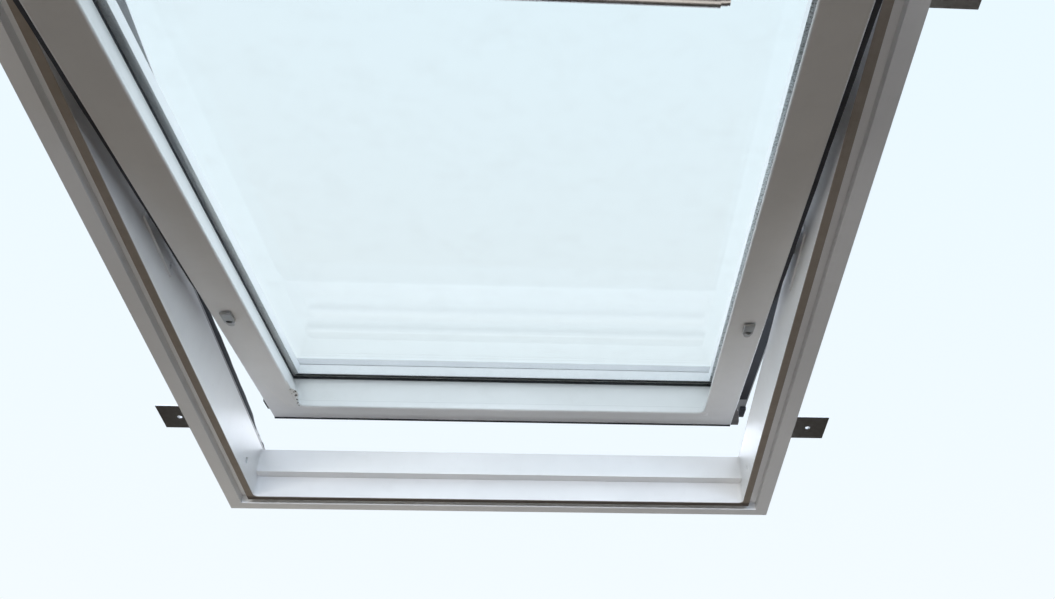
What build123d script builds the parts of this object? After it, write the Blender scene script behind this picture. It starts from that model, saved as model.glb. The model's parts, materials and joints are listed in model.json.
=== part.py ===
from build123d import *
import os
from math import cos, sin, radians, tan

os.makedirs("parts", exist_ok=True)

# Centre-pivot roof window: welded hollow frame and sash, double glazing,
# outer covers, pivot hinges, control bar and lock.
#
# Row axes: Z points out of the roof, Y up the slope, X across.
# The origin is the centre of the screw pattern of the four mounting
# brackets, in the plane of their seats. "left" is the +X side, which is the
# left-hand side for somebody who looks up at the window from the room.
# All lengths are millimetres.

# ------------------------------------------------------------------ driving
FRAME_W = 780.0          # outer width of the frame
FRAME_H = 1180.0         # outer height of the frame
FRAME_T = 40.0           # frame member, outer face to inner face at the room edge
ROOM_Z = -45.0           # room edge of the frame
FRAME_D = 68.0           # depth of the frame's inner faces
TAPER = 4.0              # how far an inner face leans in over that depth
LIP = 10.0               # lip between the inner face and the lining groove
GROOVE_W = 12.0          # lining groove, width
GROOVE_D = 12.0          # lining groove, depth
STEP_Z = 30.7            # depth of the ledge on the bottom member
STEP_UP = 34.1           # height of the upstand above the ledge
STEP_W = 19.3            # upstand face, from the room edge

OPEN_ANGLE = 8.54        # how far the sash stands open as stored
PIVOT_Z = 19.0           # pivot axis above the bracket seats
SASH_W = 671.0           # sash, outer width
SASH_BOTTOM = -528.74    # outer faces of the shut sash along Y
SASH_TOP = 536.0
SASH_FACE = -8.13        # room face of the shut sash, Z
SASH_D = 79.0            # depth of the sash profile
RAIL_W = 46.4            # width of the room face of a rail or stile
FLARE = 19.75            # how far the inner side face falls back towards the glass
BEAD_D = 50.9            # depth of the glazing rebate seat
REBATE = 12.0            # rebate wall from the sash's outer face
GLASS_IN = 54.0          # depth of the room side of the inner pane
PANE = 4.0               # pane thickness
GAP = 14.0               # gap between the panes
GLASS_EDGE = 14.65       # pane edge from the sash's outer face
FLANGE_D = 44.0          # depth of the sash's outer flange
FLANGE_X = 362.4         # half width of that flange
DRIP = 80.0              # reach of the bottom cover below the sash's room edge

PIN_R = 4.0              # pivot pin
ARM_BORE_R = 4.04        # running bore of the sash arm
HOOK_U = 347.0           # blind hook's screw above the sash's bottom edge
BRACKET_X = 425.0        # screw hole of a bracket from the centre line
BRACKET_Y = 400.0
COVE_R = 7.0             # cove in the frame's inner corners
STEP_COVE_R = 4.0        # cove between the upstand and the side faces

HW = FRAME_W / 2
HH = FRAME_H / 2
SW = SASH_W / 2
COVER_START = 120.0      # outer covers stop this far from the pivot axis

# The sash's own frame: origin on the pivot axis, turned open about X.
SASH = Location((0, 0, PIVOT_Z), (-OPEN_ANGLE, 0, 0))
FIXED = Location((0, 0, 0))


SASH_OUT = Axis((0, 0, PIVOT_Z), (0, sin(radians(OPEN_ANGLE)), cos(radians(OPEN_ANGLE))))


def placed(where, plane):
    """A plane given in a body's own frame, set in the row's frame."""
    return Plane(where * plane.location)


def vz(v):
    """Height in the sash's own frame of a point v deep from its room face."""
    return SASH_FACE - PIVOT_Z + v


def finish(piece, name):
    """Label a finished piece and write it."""
    piece.part.label = name
    export_step(piece.part, "parts/" + name + ".step")


# ------------------------------------------------------------------ helpers
def side_plane(where, side, half_w, low, high, z):
    """Section plane of a member: x runs inward from its outer face, y is up."""
    mid = (low + high) / 2
    if side == "bottom":
        p = Plane(origin=(0, low, z), x_dir=(0, 1, 0), z_dir=(1, 0, 0))
    elif side == "top":
        p = Plane(origin=(0, high, z), x_dir=(0, -1, 0), z_dir=(-1, 0, 0))
    elif side == "left":
        p = Plane(origin=(half_w, mid, z), x_dir=(-1, 0, 0), z_dir=(0, 1, 0))
    else:
        p = Plane(origin=(-half_w, mid, z), x_dir=(1, 0, 0), z_dir=(0, -1, 0))
    return placed(where, p)


def mitre_planes(where, side, half_w, low, high):
    """The two 45 degree planes at a member's ends, facing away from it."""
    if side in ("bottom", "top"):
        y, s = (low, 1) if side == "bottom" else (high, -1)
        return [placed(where, Plane(origin=(half_w, y, 0), z_dir=(1, s, 0))),
                placed(where, Plane(origin=(-half_w, y, 0), z_dir=(-1, s, 0)))]
    x, s = (half_w, 1) if side == "left" else (-half_w, -1)
    return [placed(where, Plane(origin=(x, low, 0), z_dir=(-s, -1, 0))),
            placed(where, Plane(origin=(x, high, 0), z_dir=(-s, 1, 0)))]


def member(where, side, half_w, low, high, z, outline, chambers, rounds):
    """One mitred member of a welded frame, extruded from its section."""
    length = half_w if side in ("bottom", "top") else (high - low) / 2
    with BuildPart() as m:
        with BuildSketch(side_plane(where, side, half_w, low, high, z)) as section:
            with BuildLine():
                Polyline(*outline, close=True)
            make_face()
            for corner, r in rounds:
                fillet(section.vertices().sort_by_distance(corner)[0], r)
            for c in chambers:
                with BuildLine():
                    Polyline(*c, close=True)
                make_face(mode=Mode.SUBTRACT)
        extrude(amount=length, both=True)
        for p in mitre_planes(where, side, half_w, low, high):
            split(bisect_by=p, keep=Keep.BOTTOM)
    return m


def cove(x, y, z, sx, sy, r, along, height):
    """Filling of an upright inner corner, its free side a hollow quarter round.

    The corner stands at x, y, z; sx and sy point into the opening; along is
    the run of the corner line for the given height.
    """
    k = r * (1 - cos(radians(45)))
    length = (along[0] ** 2 + along[1] ** 2 + height ** 2) ** 0.5
    with BuildPart() as c:
        with BuildSketch(Plane.XY.offset(z)):
            with BuildLine():
                Polyline((x + sx * r, y), (x, y), (x, y + sy * r))
                ThreePointArc((x, y + sy * r), (x + sx * k, y + sy * k), (x + sx * r, y))
            make_face()
        extrude(amount=length, dir=(along[0], along[1], height))
    return c


def corner_cove(side, sx, sy):
    """The part of an inner corner's cove that belongs to one mitred member."""
    x, y = -sx * (HW - FRAME_T), -sy * (HH - FRAME_T)
    # a lower corner's cove ends at the ledge, under the upstand
    height = STEP_Z if sy > 0 else FRAME_D
    lean = TAPER * height / FRAME_D
    filling = cove(x, y, ROOM_Z, sx, sy, COVE_R, (sx * lean, sy * lean), height)
    planes = mitre_planes(FIXED, side, HW, -HH, HH)
    if side in ("bottom", "top"):
        cut = planes[0] if sx < 0 else planes[1]
    else:
        cut = planes[0] if sy > 0 else planes[1]
    with BuildPart() as c:
        add(filling.part)
        split(bisect_by=cut, keep=Keep.BOTTOM)
    return c


def block(where, x0, x1, y0, y1, z0, z1, r=0.0):
    """A rectangular piece, its upright edges rounded by r."""
    with BuildPart() as b:
        with BuildSketch(placed(where, Plane.XY.offset(z0))):
            with Locations(((x0 + x1) / 2, (y0 + y1) / 2)):
                if r:
                    RectangleRounded(abs(x1 - x0), abs(y1 - y0), r)
                else:
                    Rectangle(abs(x1 - x0), abs(y1 - y0))
        extrude(amount=z1 - z0)
    return b


def ring(where, hx0, y0, y1, z0, z1, inset):
    """A rectangular ring of even width."""
    with BuildPart() as b:
        with BuildSketch(placed(where, Plane.XY.offset(z0))):
            with Locations((0, (y0 + y1) / 2)):
                Rectangle(2 * hx0, y1 - y0)
                Rectangle(2 * (hx0 - inset), y1 - y0 - 2 * inset, mode=Mode.SUBTRACT)
        extrude(amount=z1 - z0)
    return b


def profile_y(where, pts, y0, y1):
    """A strip that runs along Y, from its section in X and Z."""
    with BuildPart() as b:
        with BuildSketch(placed(where, Plane(origin=(0, y0, 0), x_dir=(-1, 0, 0), z_dir=(0, 1, 0)))):
            with BuildLine():
                Polyline(*[(-x, z) for x, z in pts], close=True)
            make_face()
        extrude(amount=y1 - y0)
    return b


def profile_x(where, pts, x0, x1):
    """A strip that runs along X, from its section in Y and Z."""
    with BuildPart() as b:
        with BuildSketch(placed(where, Plane(origin=(x0, 0, 0), x_dir=(0, 1, 0), z_dir=(1, 0, 0)))):
            with BuildLine():
                Polyline(*pts, close=True)
            make_face()
        extrude(amount=x1 - x0)
    return b


def mirror_pts(s, pts):
    return [(s * x, z) for x, z in pts]


# ================================================================== frame
D = FRAME_D
face_t = FRAME_T
g1 = FRAME_T - LIP            # groove side next to the lip
g0 = g1 - GROOVE_W            # groove side next to the outer wall
frame_outline = [(0, 0), (g0, 0), (g0, GROOVE_D), (g1, GROOVE_D), (g1, 0),
                 (face_t, 0), (face_t + TAPER, D), (0, D)]
frame_chamber = [(3, 15.5), (36, 15.5), (36, 64), (3, 64)]
frame_rounds = [((face_t, 0), 1.2), ((g1, 0), 0.8)]

# Hinge seats: flat pockets in the inner faces of the side members.
SEAT_X = 349.5
SEAT_Y = 56.0
SEAT_Z0 = PIVOT_Z - 30.0

# Screw positions of the fixed hinge plates, and of the frame's own fixings.
plate_screws = [(-44, PIVOT_Z - 8), (-44, PIVOT_Z - 22), (44, PIVOT_Z - 8), (44, PIVOT_Z - 22)]
PLUG_S, PLUG_N, PLUG_R = 73.0, 21.0, 4.6
plug_y = [-(HH - FRAME_T) + PLUG_S, (HH - FRAME_T) - PLUG_S]

# Lower sill ledge and upstand, part of the bottom member's profile.
yb = -(HH - FRAME_T)
with BuildPart() as upstand:
    with BuildSketch(Plane(origin=(0, 0, ROOM_Z), x_dir=(0, 1, 0), z_dir=(1, 0, 0))):
        with BuildLine():
            Polyline((yb - 6, STEP_Z), (yb + STEP_W, STEP_Z),
                     (yb + STEP_W, STEP_Z + STEP_UP), (yb - 6, STEP_Z + STEP_UP),
                     close=True)
        make_face()
    extrude(amount=HW - FRAME_T, both=True)
    for s in (1, -1):
        lean = Plane(origin=(s * (HW - FRAME_T), 0, ROOM_Z), z_dir=(s * D, 0, TAPER))
        split(bisect_by=lean, keep=Keep.BOTTOM)

step_lean = TAPER * STEP_Z / D
step_coves = [cove(s * (HW - FRAME_T - step_lean), yb + STEP_W, ROOM_Z + STEP_Z, -s, 1, STEP_COVE_R,
                   (-s * TAPER * STEP_UP / D, 0), STEP_UP) for s in (1, -1)]
bottom_bar = member(FIXED, "bottom", HW, -HH, HH, ROOM_Z, frame_outline, [frame_chamber], frame_rounds)
corner_fillings = [corner_cove("bottom", s, 1) for s in (1, -1)]
with BuildPart() as frame_bottom_member:
    add(bottom_bar.part)
    add(upstand.part)
    for filling in corner_fillings + step_coves:
        add(filling.part)
finish(frame_bottom_member, "frame_bottom_member")

top_bar = member(FIXED, "top", HW, -HH, HH, ROOM_Z, frame_outline, [frame_chamber], frame_rounds)
corner_fillings = [corner_cove("top", s, -1) for s in (1, -1)]
with BuildPart() as frame_top_member:
    add(top_bar.part)
    for filling in corner_fillings:
        add(filling.part)
    # pilot holes of the striker
    with BuildSketch(Plane(origin=(0, 547.0, -16.5), x_dir=(1, 0, 0), z_dir=(0, 1, 0))):
        with Locations((-21, 0), (21, 0)):
            Circle(2.0)
    extrude(amount=9.5, mode=Mode.SUBTRACT)
finish(frame_top_member, "frame_top_member")


def frame_side(side):
    s = 1 if side == "left" else -1
    bar = member(FIXED, side, HW, -HH, HH, ROOM_Z, frame_outline, [frame_chamber], frame_rounds)
    fillings = [corner_cove(side, -s, t) for t in (1, -1)]
    with BuildPart() as m:
        add(bar.part)
        for filling in fillings:
            add(filling.part)
        # hinge seat
        with BuildSketch(Plane.XY.offset(SEAT_Z0)):
            with Locations((s * (SEAT_X - 5), 0)):
                Rectangle(10, 2 * SEAT_Y)
        extrude(amount=60, mode=Mode.SUBTRACT)
        # pilot holes of the hinge plate, blind into the chamber
        for (y, z) in plate_screws:
            with BuildSketch(Plane(origin=(s * (SEAT_X - 1), y, z), x_dir=(0, 1, 0), z_dir=(s, 0, 0))):
                Circle(2.0)
            extrude(amount=9, mode=Mode.SUBTRACT)
        # pivot pin seat
        with BuildSketch(Plane(origin=(s * (SEAT_X - 1), 0, PIVOT_Z), x_dir=(0, 1, 0), z_dir=(s, 0, 0))):
            Circle(PIN_R)
        extrude(amount=4.5, mode=Mode.SUBTRACT)
        # fixing holes through the inner wall, closed by plugs
        for y in plug_y:
            with BuildSketch(Plane(origin=(s * 340, y, ROOM_Z + PLUG_N), x_dir=(0, 1, 0), z_dir=(s, 0, 0))):
                Circle(PLUG_R)
            extrude(amount=16, mode=Mode.SUBTRACT)
        # bracket screw holes in the outer wall
        for by in (-BRACKET_Y, BRACKET_Y):
            for dy in (-16, 16):
                with BuildSketch(Plane(origin=(s * (HW + 1), by + dy, -22), x_dir=(0, 1, 0), z_dir=(-s, 0, 0))):
                    Circle(2.2)
                extrude(amount=6, mode=Mode.SUBTRACT)
    return m


frame_left_member = frame_side("left")
finish(frame_left_member, "frame_left_member")
frame_right_member = frame_side("right")
finish(frame_right_member, "frame_right_member")


def steel_tube(where, axis, x0, x1, y0, y1, z0, z1, wall):
    """Rectangular steel tube, open at both ends."""
    with BuildPart() as b:
        if axis == "y":
            pl = placed(where, Plane(origin=((x0 + x1) / 2, y0, (z0 + z1) / 2), x_dir=(-1, 0, 0), z_dir=(0, 1, 0)))
            w, n = abs(x1 - x0), y1 - y0
        else:
            pl = placed(where, Plane(origin=(x0, (y0 + y1) / 2, (z0 + z1) / 2), x_dir=(0, 1, 0), z_dir=(1, 0, 0)))
            w, n = abs(y1 - y0), x1 - x0
        with BuildSketch(pl):
            Rectangle(w, z1 - z0)
            Rectangle(w - 2 * wall, z1 - z0 - 2 * wall, mode=Mode.SUBTRACT)
        extrude(amount=n)
    return b


# Steel bars inside the chambers.
st_z0, st_z1 = ROOM_Z + 18.5, ROOM_Z + 60.0
tubes = [steel_tube(FIXED, "y", s * 358, s * 382, -530, 530, st_z0, st_z1, 2.0) for s in (1, -1)]
with BuildPart() as frame_side_steels:
    for t in tubes:
        add(t.part)
finish(frame_side_steels, "frame_side_steels")
tubes = [steel_tube(FIXED, "x", -330, 330, s * 558, s * 582, st_z0, st_z1, 2.0) for s in (1, -1)]
with BuildPart() as frame_cross_steels:
    for t in tubes:
        add(t.part)
finish(frame_cross_steels, "frame_cross_steels")

# Black seal on the outermost edge, with a gap at each hinge.
seal_z0 = ROOM_Z + D
seal_pts = [(346.4, seal_z0), (352.0, seal_z0), (352.0, seal_z0 + 4), (350.6, seal_z0 + 8.6),
            (348.6, seal_z0 + 9.4), (346.6, seal_z0 + 8.4)]
SEAL_GAP = 60.0
seal_runs = []
for up in (-1, 1):
    # the bottom run sits further out, behind the upstand
    run_y = 208.6 if up < 0 else 200.0
    y_end = up * (350.0 + run_y)
    for s in (1, -1):
        seal_runs.append(profile_y(FIXED, mirror_pts(s, seal_pts), min(up * SEAL_GAP, y_end), max(up * SEAL_GAP, y_end)))
    seal_runs.append(profile_x(FIXED, [(up * (x + run_y), z) for x, z in seal_pts], -350.0, 350.0))
with BuildPart() as frame_seal:
    for run in seal_runs:
        add(run.part)
finish(frame_seal, "frame_seal")

# Outer covers of the frame: low caps beside the sash's flange, raised covers
# over the upper half, where the sash swings inward, and a hood at the top.
COVER_Z = 76.0
for side, s in (("left", 1), ("right", -1)):
    low = profile_y(FIXED, mirror_pts(s, [(354, 23.2), (354, 24.7), (391.8, 24.7), (391.8, 4), (390.3, 4), (390.3, 23.2)]),
                    -HH + 0.3, -COVER_START + 4)
    finish(low, "frame_lower_cap_" + side)

    sheet = profile_y(FIXED, mirror_pts(s, [(322, COVER_Z), (322, COVER_Z + 1.5), (392.5, COVER_Z + 1.5), (392.5, 4),
                                            (391, 4), (391, COVER_Z)]),
                      COVER_START, HH + 0.8)
    with BuildPart() as up:
        add(sheet.part)
        # web that stands on the frame and carries the sheet
        with BuildSketch(Plane.XY.offset(23.0)):
            with Locations((s * 372, (COVER_START + HH) / 2)):
                Rectangle(38.0, 1.5)
            with Locations((s * 372, COVER_START + 0.75), (s * 372, HH - 20)):
                Rectangle(38.0, 1.5)
        extrude(amount=COVER_Z - 23.0)
    finish(up, "frame_upper_cover_" + side)

    with BuildPart() as cap:
        with BuildSketch(Plane.XY.offset(23.0)):
            with Locations((s * 372.25, 1.5)):
                RectangleRounded(39.5, 229.0, 4.0)
        extrude(amount=25.0)
        top_edges = cap.faces().sort_by(Axis.Z)[-1].edges()
        fillet(top_edges, 2.0)
        with BuildSketch(Plane.XY.offset(23.0)):
            with Locations((s * 372.25, 1.5)):
                RectangleRounded(35.5, 225.0, 2.5)
        extrude(amount=23.0, mode=Mode.SUBTRACT)
    finish(cap, "pivot_cover_" + side)

top_hood = profile_x(FIXED, [(500, COVER_Z + 1.6), (500, COVER_Z + 3.1), (593.5, COVER_Z + 3.1), (593.5, 6),
                             (592, 6), (592, COVER_Z + 1.6)], -392.5, 392.5)
finish(top_hood, "top_hood")

bottom_apron = profile_x(FIXED, [(-591.8, -22), (-591.8, 24.7), (-562, 24.7), (-562, 23.2),
                                 (-590.3, 23.2), (-590.3, -22)], -351.8, 351.8)
finish(bottom_apron, "bottom_apron")

# ------------------------------------------------------------- pivot hinges
for side, s in (("left", 1), ("right", -1)):
    with BuildPart() as plate:
        with BuildSketch(Plane(origin=(s * 346.0, 0, 0), x_dir=(0, 1, 0), z_dir=(1, 0, 0))):
            with Locations((0, (SEAT_Z0 + 24.0) / 2)):
                RectangleRounded(2 * SEAT_Y - 2, 24.0 - SEAT_Z0 - 0.6, 4.0)
            with Locations((0, PIVOT_Z)):
                Circle(12.0)
            with Locations((0, PIVOT_Z)):
                Circle(PIN_R, mode=Mode.SUBTRACT)
            with Locations(*plate_screws):
                Circle(2.0, mode=Mode.SUBTRACT)
        extrude(amount=s * 3.5)
        # countersinks
        for (y, z) in plate_screws:
            with BuildSketch(Plane(origin=(s * 346.0, y, z), x_dir=(0, 1, 0), z_dir=(s, 0, 0))):
                Circle(4.0)
            extrude(amount=2.0, taper=45, mode=Mode.SUBTRACT)
    finish(plate, "hinge_plate_" + side)

    with BuildPart() as arm:
        with BuildSketch(placed(SASH, Plane(origin=(s * SW, 0, 0), x_dir=(0, 1, 0), z_dir=(1, 0, 0)))):
            with Locations((0, 0)):
                RectangleRounded(96.0, 30.0, 8.0)
                Circle(ARM_BORE_R, mode=Mode.SUBTRACT)
            with Locations((-36, 0), (-22, 0), (22, 0), (36, 0)):
                Circle(2.0, mode=Mode.SUBTRACT)
        extrude(amount=s * 3.0)
        for y in (-36, -22, 22, 36):
            with BuildSketch(placed(SASH, Plane(origin=(s * (SW + 3.0), y, 0), x_dir=(0, 1, 0), z_dir=(-s, 0, 0)))):
                Circle(4.0)
            extrude(amount=2.0, taper=45, mode=Mode.SUBTRACT)
    finish(arm, "hinge_arm_" + side)

with BuildPart() as hinge_pins:
    for s in (1, -1):
        with BuildSketch(Plane(origin=(s * 329.5, 0, PIVOT_Z), x_dir=(0, 1, 0), z_dir=(s, 0, 0))):
            Circle(PIN_R)
        extrude(amount=352.9 - 329.5)
finish(hinge_pins, "hinge_pins")

with BuildPart() as friction_discs:
    for s in (1, -1):
        with BuildSketch(Plane(origin=(s * 338.8, 0, PIVOT_Z), x_dir=(0, 1, 0), z_dir=(s, 0, 0))):
            Circle(13.0)
            Circle(PIN_R, mode=Mode.SUBTRACT)
        extrude(amount=346.0 - 338.8)
finish(friction_discs, "friction_discs")


def countersunk(where, x, y, z, direction, shank, r=2.0, head=4.0):
    """Countersunk screw, its head flush with the plane it starts from."""
    with BuildPart() as b:
        pl = placed(where, Plane(origin=(x, y, z), x_dir=(0, 1, 0), z_dir=(direction, 0, 0)))
        with BuildSketch(pl):
            Circle(head)
        extrude(amount=2.0, taper=45)
        with BuildSketch(pl):
            Circle(r)
        extrude(amount=shank)
        # cross recess
        with BuildSketch(pl):
            Rectangle(3.6, 0.9)
            Rectangle(0.9, 3.6)
        extrude(amount=1.2, mode=Mode.SUBTRACT)
    return b


screws = [countersunk(FIXED, s * 346.0, y, z, s, 9.0) for s in (1, -1) for (y, z) in plate_screws]
with BuildPart() as hinge_plate_screws:
    for screw in screws:
        add(screw.part)
finish(hinge_plate_screws, "hinge_plate_screws")

screws = [countersunk(SASH, s * (SW + 3.0), y, 0, -s, 7.5) for s in (1, -1) for y in (-36, -22, 22, 36)]
with BuildPart() as hinge_arm_screws:
    for screw in screws:
        add(screw.part)
finish(hinge_arm_screws, "hinge_arm_screws")

# ------------------------------------------------------------- frame fittings
with BuildPart() as fixing_plugs:
    # cup-shaped plugs, pushed in below the face, with a slot across
    for s in (1, -1):
        for y in plug_y:
            face = 350.0 - TAPER * PLUG_N / D
            with BuildSketch(Plane(origin=(s * (face + 1.6), y, ROOM_Z + PLUG_N), x_dir=(0, 1, 0), z_dir=(s, 0, 0))):
                Circle(PLUG_R - 0.05)
            extrude(amount=3.4)
            with BuildSketch(Plane(origin=(s * (face + 1.6), y, ROOM_Z + PLUG_N), x_dir=(0, 1, 0), z_dir=(s, 0, 0))):
                Circle(PLUG_R - 1.4)
            extrude(amount=1.6, mode=Mode.SUBTRACT)
            with BuildSketch(Plane(origin=(s * (face + 3.2), y, ROOM_Z + PLUG_N), x_dir=(0, 1, 0), z_dir=(s, 0, 0))):
                Rectangle(4.6, 1.2)
            extrude(amount=0.9, mode=Mode.SUBTRACT)
finish(fixing_plugs, "fixing_plugs")

# Striker on the top member: a block with a pocket for the lock's tongue.
STR_Z0, STR_Z1 = -24.0, -9.0
with BuildPart() as lock_striker:
    with BuildSketch(Plane.XY.offset(STR_Z0)):
        with Locations((0, 543.9)):
            Rectangle(60.0, 7.8)
    extrude(amount=STR_Z1 - STR_Z0)
    fillet(lock_striker.edges().filter_by(Axis.Z).group_by(Axis.Y)[0], 2.0)
    with BuildSketch(Plane(origin=(0, 540.0, -14.6), x_dir=(1, 0, 0), z_dir=(0, 1, 0))):
        RectangleRounded(26.0, 9.2, 1.0)
    extrude(amount=6.2, mode=Mode.SUBTRACT)
    with BuildSketch(Plane(origin=(0, 540.0, -16.5), x_dir=(1, 0, 0), z_dir=(0, 1, 0))):
        with Locations((-21, 0), (21, 0)):
            Circle(2.0)
    extrude(amount=9, mode=Mode.SUBTRACT)
finish(lock_striker, "lock_striker")

with BuildPart() as striker_screws:
    for x in (-21, 21):
        with BuildSketch(Plane(origin=(x, 538.9, -16.5), x_dir=(1, 0, 0), z_dir=(0, 1, 0))):
            Circle(3.4)
        extrude(amount=1.1)
        with BuildSketch(Plane(origin=(x, 538.9, -16.5), x_dir=(1, 0, 0), z_dir=(0, 1, 0))):
            Circle(2.0)
        extrude(amount=16.0)
        with BuildSketch(Plane(origin=(x, 538.9, -16.5), x_dir=(1, 0, 0), z_dir=(0, 1, 0))):
            Rectangle(3.6, 0.9)
            Rectangle(0.9, 3.6)
        extrude(amount=0.8, mode=Mode.SUBTRACT)
finish(striker_screws, "striker_screws")

# Four steel angle brackets that carry the frame on the roof.
with BuildPart() as mounting_brackets:
    for s in (1, -1):
        for by in (-BRACKET_Y, BRACKET_Y):
            with BuildSketch(Plane(origin=(0, by - 30, 0), x_dir=(-1, 0, 0), z_dir=(0, 1, 0))):
                with BuildLine():
                    Polyline(*[(-s * x, z) for x, z in [(390, -38), (392.5, -38), (392.5, 0), (450, 0), (450, 2.5), (390, 2.5)]],
                             close=True)
                make_face()
            extrude(amount=60)
            with BuildSketch(Plane(origin=(0, 0, -1), x_dir=(1, 0, 0), z_dir=(0, 0, 1))):
                with Locations((s * BRACKET_X, by)):
                    Circle(3.5)
            extrude(amount=5, mode=Mode.SUBTRACT)
            with BuildSketch(Plane(origin=(s * 389, by, -22), x_dir=(0, 1, 0), z_dir=(s, 0, 0))):
                with Locations((-16, 0), (16, 0)):
                    Circle(2.2)
            extrude(amount=5, mode=Mode.SUBTRACT)
finish(mounting_brackets, "mounting_brackets")

with BuildPart() as bracket_screws:
    for s in (1, -1):
        for by in (-BRACKET_Y, BRACKET_Y):
            for dy in (-16, 16):
                with BuildSketch(Plane(origin=(s * 392.5, by + dy, -22), x_dir=(0, 1, 0), z_dir=(s, 0, 0))):
                    Circle(4.2)
                extrude(amount=2.4)
                with BuildSketch(Plane(origin=(s * 394.9, by + dy, -22), x_dir=(0, 1, 0), z_dir=(-s, 0, 0))):
                    Circle(2.2)
                extrude(amount=9.5)
                with BuildSketch(Plane(origin=(s * 394.9, by + dy, -22), x_dir=(0, 1, 0), z_dir=(-s, 0, 0))):
                    RegularPolygon(1.8, 6)
                extrude(amount=1.4, mode=Mode.SUBTRACT)
finish(bracket_screws, "bracket_screws")

# ================================================================== sash
in_x = RAIL_W - FLARE                       # rebate seat edge from the outer face
sash_outline = [(0, 0), (RAIL_W, 0), (in_x, BEAD_D), (REBATE, BEAD_D), (REBATE, SASH_D), (0, SASH_D)]
sash_rounds = [((RAIL_W, 0), 2.5), ((0, 0), 1.5), ((in_x, BEAD_D), 1.0), ((0, SASH_D), 1.0)]
sash_chamber_a = [(3, 3), (RAIL_W - 5.2, 3), (RAIL_W - 5.2 - FLARE * 30 / BEAD_D, 35.5), (3, 35.5)]
sash_chamber_b = [(3, 38), (in_x + 1.2, 38), (in_x - 3.4, 47.9), (3, 47.9)]


def sash_member(side):
    s = {"left": 1, "right": -1}.get(side, 0)
    bar = member(SASH, side, SW, SASH_BOTTOM, SASH_TOP, vz(0), sash_outline,
                 [sash_chamber_a, sash_chamber_b], sash_rounds)
    with BuildPart() as m:
        add(bar.part)
        if s:
            # clearance hole for the pivot pin and pilot holes of the arm
            with BuildSketch(placed(SASH, Plane(origin=(s * (SW + 1), 0, 0), x_dir=(0, 1, 0), z_dir=(-s, 0, 0)))):
                Circle(4.5)
            extrude(amount=5.0, mode=Mode.SUBTRACT)
            with BuildSketch(placed(SASH, Plane(origin=(s * (SW + 1), 0, 0), x_dir=(0, 1, 0), z_dir=(-s, 0, 0)))):
                with Locations((-36, 0), (-22, 0), (22, 0), (36, 0)):
                    Circle(2.0)
            extrude(amount=7.0, mode=Mode.SUBTRACT)
            # pilot hole of the blind hook
            with BuildSketch(placed(SASH, Plane(origin=(s * (SW - 19.3), SASH_BOTTOM + HOOK_U, vz(-1)), x_dir=(1, 0, 0), z_dir=(0, 0, 1)))):
                Circle(1.6)
            extrude(amount=9.0, mode=Mode.SUBTRACT)
        if side == "top":
            with BuildSketch(placed(SASH, Plane(origin=(0, 0, vz(-1)), x_dir=(1, 0, 0), z_dir=(0, 0, 1)))):
                with Locations((-34, 522), (34, 522), (-220, 522), (220, 522)):
                    Circle(1.6)
            extrude(amount=7.0, mode=Mode.SUBTRACT)
    return m


for side in ("bottom", "top", "left", "right"):
    piece = sash_member(side)
    finish(piece, "sash_bottom_rail" if side == "bottom" else
           "sash_top_rail" if side == "top" else "sash_" + side + "_stile")

tubes = []
for s in (1, -1):
    tubes.append(steel_tube(SASH, "y", s * (SW - 12), s * (SW - 29), SASH_BOTTOM + 50, -60, vz(7), vz(32), 1.5))
    tubes.append(steel_tube(SASH, "y", s * (SW - 12), s * (SW - 29), 60, SASH_TOP - 50, vz(7), vz(32), 1.5))
with BuildPart() as sash_side_steels:
    for t in tubes:
        add(t.part)
finish(sash_side_steels, "sash_side_steels")
tubes = [steel_tube(SASH, "x", -280, 280, SASH_BOTTOM + 7, SASH_BOTTOM + 27, vz(7), vz(32), 1.5),
         steel_tube(SASH, "x", -280, 280, SASH_TOP - 27, SASH_TOP - 11, vz(12), vz(32), 1.5)]
with BuildPart() as sash_cross_steels:
    for t in tubes:
        add(t.part)
finish(sash_cross_steels, "sash_cross_steels")

# ------------------------------------------------------------------ glazing
gx = SW - GLASS_EDGE
gy0, gy1 = SASH_BOTTOM + GLASS_EDGE, SASH_TOP - GLASS_EDGE
v1 = GLASS_IN + PANE
v2 = v1 + GAP
v3 = v2 + PANE

inner_pane = block(SASH, -gx, gx, gy0, gy1, vz(GLASS_IN), vz(v1))
finish(inner_pane, "inner_pane")
outer_pane = block(SASH, -gx, gx, gy0, gy1, vz(v2), vz(v3))
finish(outer_pane, "outer_pane")

SP_OUT = 24.0 - GLASS_EDGE
SP_IN = 34.8 - 24.0
spacer_bar = ring(SASH, gx - SP_OUT, gy0 + SP_OUT, gy1 - SP_OUT, vz(v1), vz(v2), SP_IN)
finish(spacer_bar, "spacer_bar")
pane_edge_seal = ring(SASH, gx, gy0, gy1, vz(v1), vz(v2), SP_OUT)
finish(pane_edge_seal, "pane_edge_seal")

inner_gasket = ring(SASH, SW - 16.0, SASH_BOTTOM + 16.0, SASH_TOP - 16.0, vz(BEAD_D), vz(GLASS_IN), 11.2)
finish(inner_gasket, "inner_gasket")
outer_gasket = ring(SASH, SW - 15.0, SASH_BOTTOM + 15.0, SASH_TOP - 15.0, vz(v3), vz(SASH_D), 10.0)
finish(outer_gasket, "outer_gasket")

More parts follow.
